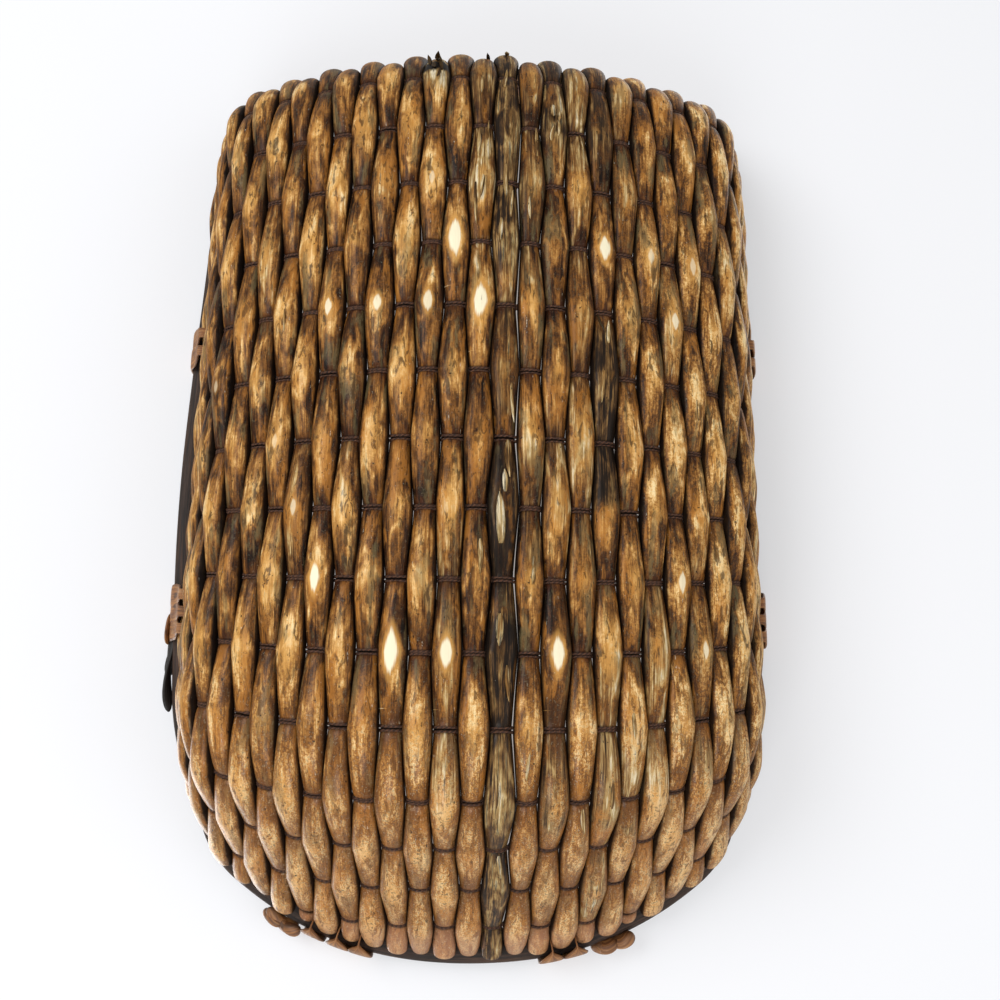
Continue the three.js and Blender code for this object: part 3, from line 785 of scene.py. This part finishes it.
def weftMesh(name, weft):
    look = weftLook
    low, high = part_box(name)
    place = weftPlace(weft)
    local = np.random.default_rng(900 + weft)
    share = np.linspace(-look["reach"], look["reach"], look["stepsPerRod"])
    turn = sectionAngles(look["sides"])
    parts = []
    rods = [rod for rod in range(-lastRod, lastRod + 1)
            if low.y / mm - 1 < shellPoint(place, rodPlace(rod))[1] < high.y / mm + 1]
    for pair in (-1, 1):
        turnAt, offsets, slips = [], [], []
        for rod in rods:
            spread = shellFrame(np.array(place), np.array(rodPlace(rod)))["spread"]
            sideways, half, top, bottom = rodAt(rod, place)
            side = passing(rod, weft)
            offsets.append(faceHeight(top, bottom, share, side) + side * look["sink"] * look["radius"])
            turnAt.append(rodPlace(rod) + (sideways + share * (half + look["shoulder"])) / spread)
            slips.append(np.full(len(share), local.uniform(-look["slip"], look["slip"])))
        v, offset, slip = map(np.concatenate, (turnAt, offsets, slips))
        slip = np.convolve(np.pad(slip, 4, mode="edge"), np.ones(9) / 9, "valid")
        frames = shellFrame(place + slip + pair * look["apart"], v)
        path = frames["middle"] + frames["out"] * offset[:, None]
        ahead = unit(np.gradient(path, axis=0))
        sideways = unit(frames["along"] - ahead * np.sum(frames["along"] * ahead, -1, keepdims=True))
        radius = (look["radius"] * (1 + look["uneven"] * local.uniform(-1, 1, len(path))))[:, None]
        rings = sweep(path, sideways, np.cross(ahead, sideways), radius * np.cos(turn), radius * np.sin(turn))
        mesh = ringMesh(name, rings)
        walked, lot = walkedLength(path)[:, None], weft * lotStep["weft"] + pair
        keepValues(mesh, "grainPoint", rings.shape[:2], walked, turn, lot)
        parts.append(mesh)
    return parts


for weft in range(shell["weftCount"]):
    name = f"weft_{weft + 1:02d}"
    finishPiece(joinMeshes(name, weftMesh(name, weft)), name, "hemp")
print("wefts ready")


# On the left the outer hoop stands away from the rods, most at leftMiddle along X and less by a bell curve
rimLook = {"leftAway": 6.5, "leftMiddle": -8.0, "leftReach": 105.0, "outerFrom": -4.1}


# A place on the rim is a ray over the shell, (u, v) at the start and its steps; the ray is halved again and
# again to the height, or to the rim and then straight up, and is moved off the wall level or square to it.
def rimPoint(ray, height, offset, square=False):
    u0, v0, du, dv = [np.asarray(part, float) for part in ray]
    shape = np.broadcast_shapes(u0.shape, v0.shape, du.shape, dv.shape, np.shape(height), np.shape(offset))
    low, high = np.full(shape, 0.3), np.full(shape, 3.0)
    level = shell["standHeight"] + shell["rimRise"] + np.minimum(height, 0.0)
    for _ in range(36):
        middle = (low + high) / 2
        above = shellPoint(u0 + middle * du, v0 + middle * dv)[..., 2] > level
        low, high = np.where(above, low, middle), np.where(above, middle, high)
    here = shellFrame(u0 + low * du, v0 + low * dv)
    offset = np.broadcast_to(offset, shape)[..., None]
    place = here["middle"]
    raised = place + np.broadcast_to(np.maximum(height, 0.0), shape)[..., None] * np.array([0, 0, 1.0])
    if square:
        return raised + here["out"] * offset
    away = rimLook["leftAway"] * np.exp(-((place[..., 0] - rimLook["leftMiddle"]) / rimLook["leftReach"]) ** 2)
    away = away * np.clip(-place[..., 1] / halfBreadth * 4 - 3, 0, 1)
    offset = offset + np.where(offset > rimLook["outerFrom"], away[..., None], 0.0)
    outward = here["out"] * np.array([1, 1, 0])
    return raised + outward * offset / np.sum(outward**2, -1, keepdims=True)


# Level direction out of the basket at a place on the rim
def rimOut(ray):
    return unit(rimPoint(ray, 0.0, 1.0) - rimPoint(ray, 0.0, 0.0))


endReach = halfGirth * 1.4


def rimRay(angle):
    return np.zeros_like(angle), np.zeros_like(angle), np.cos(angle) * endReach, np.sin(angle) * halfGirth


def evenAngles(count):
    fine = np.linspace(0, tau, 1441)
    walked = walkedLength(rimPoint(rimRay(fine), 0.0, 0.0))
    return np.interp(np.linspace(0, walked[-1], count, endpoint=False), walked, fine), walked[-1]


# Hoops: a rounded, slightly uneven strip of wood; the section is an oval of a high power between two offsets
# and two heights, and slow waves round the ring swell and twist it.
hoopLoop = {"steps": 440, "sides": 20, "girth": 30.0, "waves": (3, 7, 13, 24)}
hoopForms = {
    "outer_hoop": {"offsets": (-4.0, 2.8), "heights": (0.0, 10.0), "wave": 0.28, "power": 3.4, "seed": 3},
    "inner_hoop": {"offsets": (-7.3, -4.3), "heights": (-3.0, 10.0), "wave": 0.12, "power": 3.0, "seed": 8},
}
hoopAngles, rimLength = evenAngles(hoopLoop["steps"])


def hoopMesh(name):
    form = hoopForms[name]
    turn = sectionAngles(hoopLoop["sides"])
    local = np.random.default_rng(form["seed"])
    loops = tau * np.arange(len(hoopAngles)) / len(hoopAngles)

    def wave():
        waves = enumerate(hoopLoop["waves"])
        return sum(np.sin(loops * n + local.uniform(0, 6.3)) / (1 + i) for i, n in waves) / 2

    (inner, outer), (low, high) = form["offsets"], form["heights"]
    middle = (inner + outer) / 2 + 0.3 * form["wave"] * wave()
    thick = (outer - inner) / 2 - form["wave"] * (1 - wave()) * 0.6
    centre = (low + high) / 2 + form["wave"] * wave() * 0.6
    tall = (high - low) / 2 - form["wave"] * (1 - wave()) * 0.8
    offset = middle[:, None] + thick[:, None] * flattened(np.cos(turn), 2 / form["power"])
    height = centre[:, None] + tall[:, None] * flattened(np.sin(turn), 2 / form["power"])
    ray = [np.repeat(part[:, None], len(turn), 1) for part in rimRay(hoopAngles)]
    mesh = ringMesh(name, rimPoint(ray, height, offset), closed=True)
    walked = np.linspace(0, rimLength, len(hoopAngles), endpoint=False)
    around = turn / tau * hoopLoop["girth"]
    keepValues(mesh, "grainPoint", offset.shape, walked[:, None], around, form["seed"] * lotStep["hoop"])
    return mesh


for name in hoopForms:
    finishPiece(joinMeshes(name, [hoopMesh(name)]), name, "bent_wood")
print("hoops ready")

# Lashings: a flat strip starts between the hoops' tops, goes down outside both, in through the wall, up inside
# and over the top; the turns of a side are apart by 8 mm, and those of an end by one rod.
lashings = {
    "lashing_left_far": {"edge": -1, "weft": 4, "turns": 2},
    "lashing_left_near": {"edge": -1, "weft": 9, "turns": 3},
    "lashing_right_far": {"edge": 1, "weft": 4, "turns": 2},
    "lashing_right_near": {"edge": 1, "weft": 9, "turns": 3},
    "lashing_near_left": {"end": -1, "rod": -7, "turns": 3},
    "lashing_near_right": {"end": -1, "rod": 3, "turns": 2},
    "lashing_far": {"end": 1, "rod": -2, "turns": 3},
}
stripForm = {
    "width": 9.6,
    "thickness": 1.3,
    "lift": 0.8,
    "hoopOut": 3.6,
    "hoopIn": -8.0,
    "hoopTop": 10.0,
    "between": -2.25,
    "wallOut": 5.8,
    "apart": 8.0,
    "neck": {"edge": (4.4, 0.8), "end": (0.6, 1.6)},
    "lean": 0.35,
    "ragged": 0.04,
    "sides": 16,
}


def shareAt(rod, u):
    weft = np.round(weftNumber(u))
    return passing(rod, weft) * (1 - 2 * abs(weftNumber(u) - weft))


def gapShift(rod, nextRod, u):
    return -rodLook["waist"] * (shareAt(rod, u) - shareAt(nextRod, u)) / 2


# The stations of one turn: offset, height, width, thickness, angle of the face and whether it stands square
def turnStations(depth, neck, neckDepth):
    form = stripForm
    wide, thin, lift, out, inside = form["width"], form["thickness"], form["lift"], form["hoopOut"], form["hoopIn"]
    over, wall = form["hoopTop"] + lift, form["wallOut"]
    return [
        (out, over, wide, thin * 1.2, 45, False),
        (out, 0.6, wide, thin, 0, False),
        (wall, -0.4 * depth, wide, thin, 0, True),
        (wall, 0.6 - depth, neck, (thin + neckDepth) / 2, -30, True),
        (wall - 1, -depth, neck, neckDepth, -75, True),
        (-4.0 - lift + 1, -0.5 - depth, neck, neckDepth, -90, True),
        (inside + 0.4, -0.55 * depth - 0.45 * (3 + lift), (wide + neck) / 2, thin, -150, False),
        (inside, -2.0, wide, thin, -180, False),
        (inside, over, wide, thin * 1.2, -225, False),
    ]


# A path of stations is rounded off by cutting its corners three times; each section is a flat oval along the rim
def stripMesh(name, turns, neck, neckDepth, seed):
    form = stripForm
    local = np.random.default_rng(seed)
    wide, thin = form["width"], form["thickness"]
    stops = []
    for index, (ray, depth) in enumerate(turns[:-1]):
        following = turns[index + 1][0]
        stations = turnStations(depth, neck, neckDepth)
        if index == 0:
            stations = [(form["between"], form["hoopTop"] + form["lift"], wide, thin, 90, False), *stations]
        if index == len(turns) - 2:
            stations = [*stations[:-1], (form["hoopIn"], form["hoopTop"] - 1, wide, thin, -180, False)]
        lean = local.uniform(-form["lean"], form["lean"])
        level = rimOut(ray)
        rimward = np.array([-level[1], level[0], 0])
        for i, (offset, height, width, thickness, angle, square) in enumerate(stations):
            share = max(0, i + 3 - len(stations)) / 3
            spot = rimPoint(ray, height, offset, square) * (1 - share)
            spot = spot + rimPoint(following, height, offset, square) * share
            spot = spot + rimward * lean * (0.5 if i % 2 else -0.5)
            stops.append([*spot, width, thickness, np.radians(angle - 360 * index), *level])
    kept = np.array(stops)
    for _ in range(3):
        cut = np.stack([0.75 * kept[:-1] + 0.25 * kept[1:], 0.25 * kept[:-1] + 0.75 * kept[1:]], 1)
        kept = np.concatenate([kept[:1], cut.reshape(-1, kept.shape[1]), kept[-1:]])
    centre, width, thickness, angle, level = kept[:, :3], kept[:, 3], kept[:, 4], kept[:, 5], unit(kept[:, 6:9])
    rimward = np.stack([-level[:, 1], level[:, 0], np.zeros(len(level))], -1)
    normal = level * np.cos(angle)[:, None] + np.array([0, 0, 1.0]) * np.sin(angle)[:, None]
    turn = sectionAngles(form["sides"])
    a, b = flattened(np.cos(turn), 0.5), flattened(np.sin(turn), 0.8)
    ragged = 1 + form["ragged"] * local.uniform(-1, 1, len(centre))
    rings = sweep(centre, rimward, normal, (width * ragged / 2)[:, None] * a, (thickness / 2)[:, None] * b)
    mesh = ringMesh(name, rings)
    shape = rings.shape[:2]
    keepValues(mesh, "grainPoint", shape, walkedLength(centre)[:, None], a * 3.1, seed * lotStep["strip"])
    # painted shade towards the strip's edges
    keepValues(mesh, "shade", shape, np.clip((np.abs(a) - 0.8) / 0.2, 0, 1) ** 2 * 0.6)
    return mesh


def lashingTurns(form):
    turns = []
    for i in range(form["turns"] + 1):
        if "edge" in form:
            edge = form["edge"]
            u = weftPlace(form["weft"] + 0.5) + (i - (form["turns"] - 1) / 2) * stripForm["apart"]
            drop = rodPitch + shell["edgeRodGap"] / 2 - gapShift(edge * (lastRod - 1), edge * lastRod, u)
            turns.append(((u, 0.0, 0.0, edge * halfGirth), 1 + drop * np.sin(np.radians(wallLean))))
        else:
            rod, depth = form["rod"] + i, 6.0
            middle = (rod + 0.5) * rodPitch
            u = riseLength(form["end"], middle, shell["rimRise"] - depth)
            shift = gapShift(rod, rod + 1, form["end"] * u)
            turns.append(((0.0, middle + shift, form["end"] * endReach, 0.0), depth))
    return turns


# Tied and cut strip ends. Each is a closed spindle: its middle line starts at a place on the rim, runs along the
# rim, outward and up by its run, and bows by a sine; its oval section turns. A row says where it starts (u or v,
# mm up, mm outward), its run, its bow outward and up, width and thickness, twist and any extra darkness.
curls = {
    "lashing_near_left": [
        (-79, 0.5, 2.9, (12, 0.5, 7.0), (1.6, 0.6), (5.4, 4.4), 2.4),
        (-77, 7.5, 2.9, (12, 0.5, -6.5), (2.2, 0.6), (5.4, 4.4), -2.4),
        (-80, 3.5, 4.2, (8, 0.6, 0.5), (1.0, 0.5), (5.6, 4.2), 1.2),
        (-73, 2.0, 4.0, (8, 0.8, 2.5), (1.2, 0.5), (5.0, 3.8), -1.4),
    ],
    "lashing_near_right": [
        (49, 2.5, 2.4, (8, 1.0, 1.0), (1.4, 0.8), (8.6, 5.6), 0.8),
        (56, 3.0, 2.8, (8, 0.6, -1.0), (1.6, 0.8), (8.4, 5.8), -0.9),
    ],
    "lashing_left_near": [
        (-76, 3.0, 3.0, (-36, 0.8, -1.5), (0.8, 0.8), (5.0, 2.2), 2.2, 1.2),
        (-80, 5.0, 3.4, (-16, 1.0, 0.5), (0.6, 0.6), (5.6, 2.4), 1.2, 1.2),
        (-66, 4.0, 4.2, (-15, 0.8, 0.0), (0.4, 0.2), (7.0, 2.0), 0.2, -0.6),
    ],
}
curlForm = {"sides": 20, "steps": 33, "darkest": 1.15}


def curlMesh(name, form, seed, at, up, out, run, bow, size, twist, darker=0.0):
    (runAside, runOut, runUp), (bowOut, bowUp), (broad, deep) = run, bow, size
    share = np.linspace(0, 1, curlForm["steps"])
    start = at + runAside * share
    ray = (start, 0.0, 0.0, form["edge"] * endReach) if "edge" in form else (0.0, start, form["end"] * endReach, 0.0)
    high = up + runUp * share + bowUp * np.sin(tau * share)
    away = out + runOut * share + bowOut * np.sin(np.pi * share)
    path = rimPoint(ray, high, away)
    ahead = unit(np.gradient(path, axis=0))
    face = unit(np.cross(ahead, np.array([0, 0, 1.0])))
    ring = sectionAngles(curlForm["sides"])
    lean = (twist * (share - 0.5))[:, None]
    swell = (np.clip(1 - (2 * share - 1) ** 4, 0.02, 1) ** 0.5)[:, None]
    a = np.cos(ring) * broad / 2 * swell
    b = np.sin(ring) * deep / 2 * swell
    turnedA, turnedB = a * np.cos(lean) - b * np.sin(lean), a * np.sin(lean) + b * np.cos(lean)
    mesh = ringMesh(name, sweep(path, np.cross(face, ahead), face, turnedA, turnedB))
    walked = share[:, None] * abs(runAside)
    keepValues(mesh, "grainPoint", a.shape, walked, ring * broad / 3, seed * lotStep["curl"])
    ends = np.abs(2 * share - 1)[:, None] ** 3
    # painted shade on the sides and towards the ends, plus any extra darkness
    shade = np.abs(np.cos(ring)) ** 4 * 0.45 + 0.5 * ends + darker
    keepValues(mesh, "shade", a.shape, np.clip(shade, 0, curlForm["darkest"]))
    return mesh


for seed, (name, form) in enumerate(lashings.items()):
    neck, neckDepth = stripForm["neck"]["edge" if "edge" in form else "end"]
    meshes = [stripMesh(name, lashingTurns(form), neck, neckDepth, 60 + seed)]
    meshes += [curlMesh(name, form, seed + 2 * i, *curl) for i, curl in enumerate(curls.get(name, []))]
    finishPiece(joinMeshes(name, meshes), name, "split_strip")
print("lashings ready")

# Stage: the basket lies mouth down on a pale cloth in the photograph, so the cloth is seen from below only, and a
# pale floor under the standing basket is seen from above only.
stageForm = {"clothHeight": 101.0, "clothHalf": 700.0, "floorHalf": 6000.0}


def stagePlane(name, height, half, fromBelow, colour, glow):
    points = np.array([[-half, -half, height], [half, -half, height], [half, half, height], [-half, half, height]])
    mesh = bpy.data.meshes.new(name)
    order = [3, 2, 1, 0] if fromBelow else [0, 1, 2, 3]
    mesh.from_pydata((points * mm).tolist(), [], [order])
    mesh.update()
    plane = newObject(name, mesh)
    finish, sheet = newFinish(name)
    back = sheet.node("ShaderNodeNewGeometry", None, None, output="Backfacing")
    cloth = sheet.node("ShaderNodeBsdfDiffuse", None, {"Color": colour})
    light = sheet.node("ShaderNodeEmission", None, {"Color": (1.0, 1.0, 1.0, 1.0), "Strength": glow})
    both = sheet.node("ShaderNodeAddShader", None, {0: cloth, 1: light})
    clear = sheet.node("ShaderNodeBsdfTransparent")
    shown = sheet.node("ShaderNodeMixShader", None, {0: back, 1: both, 2: clear})
    sheet.node("ShaderNodeOutputMaterial", None, {"Surface": shown})
    mesh.materials.append(finish)
    for kind in ("diffuse", "glossy", "transmission", "volume_scatter", "shadow"):
        setattr(plane, "visible_" + kind, False)


stagePlane("cloth", stageForm["clothHeight"], stageForm["clothHalf"], True, tint(205, 207, 212), 0.32)
stagePlane("floor", 0.0, stageForm["floorHalf"], False, tint(215, 215, 215), 0.12)

world = bpy.data.worlds.new("soft room")
bpy.context.scene.world = world
world.use_nodes = True
room = Sheet(world)
ray = room.node("ShaderNodeLightPath", None, None, output="Is Camera Ray")
soft = room.node("ShaderNodeBackground", None, {"Color": (1.0, 0.985, 0.96, 1.0), "Strength": 0.55})
seen = room.node("ShaderNodeBackground", None, {"Color": tint(246, 247, 250), "Strength": 1.0})
mixed = room.node("ShaderNodeMixShader", None, {0: ray, 1: soft, 2: seen})
room.node("ShaderNodeOutputWorld", None, {"Surface": mixed})


def areaLamp(name, place, size, power):
    lamp = bpy.data.lights.new(name, "AREA")
    lamp.shape, lamp.size, lamp.energy = "DISK", size, power
    back = unit(np.array(place) - np.array([0, 0, 0.05]))
    right = unit(np.cross([0.1, 1.0, 0.05], back))
    turnObject(newObject(name, lamp), right, np.cross(back, right), back, place)


areaLamp("window below", (0.3, -0.75, -1.0), 0.8, 7.0)
areaLamp("near below", (-0.95, -0.25, -0.75), 0.7, 5.0)
areaLamp("fill below", (-0.2, 0.9, -0.9), 1.0, 2.0)
areaLamp("window above", (-0.5, -0.8, 1.2), 1.0, 9.0)
areaLamp("fill above", (0.9, 0.7, 0.9), 1.1, 4.0)

# Camera: below the basket, looking up at its underside, fitted to the weave in the photograph
cameraForm = {
    "target": (-25.41, 8.0, 3.9),
    "turn": 0.0291,
    "tilt": 0.2178,
    "roll": 0.0116,
    "distance": 375.51,
    "lens": 38.95,
}


def placeCamera(form):
    turn, tilt, roll = form["turn"], form["tilt"], form["roll"]
    ahead = unit(np.array([np.sin(tilt), np.sin(turn) * np.cos(tilt), np.cos(turn) * np.cos(tilt)]))
    up = unit(np.array([1.0, 0, 0]) - ahead * ahead[0])
    right = np.cross(ahead, up)
    right, up = np.cos(roll) * right + np.sin(roll) * up, -np.sin(roll) * right + np.cos(roll) * up
    data = bpy.data.cameras.new("camera")
    data.lens, data.sensor_width, data.clip_start, data.clip_end = form["lens"], 36.0, 0.01, 50.0
    camera = newObject("camera", data)
    place = (np.array(form["target"]) + [shiftX, 0, 0] - ahead * form["distance"]) * mm
    turnObject(camera, right, up, -ahead, place)
    bpy.context.scene.camera = camera


placeCamera(cameraForm)
bpy.context.scene.view_settings.view_transform = "Standard"
print("stage ready")
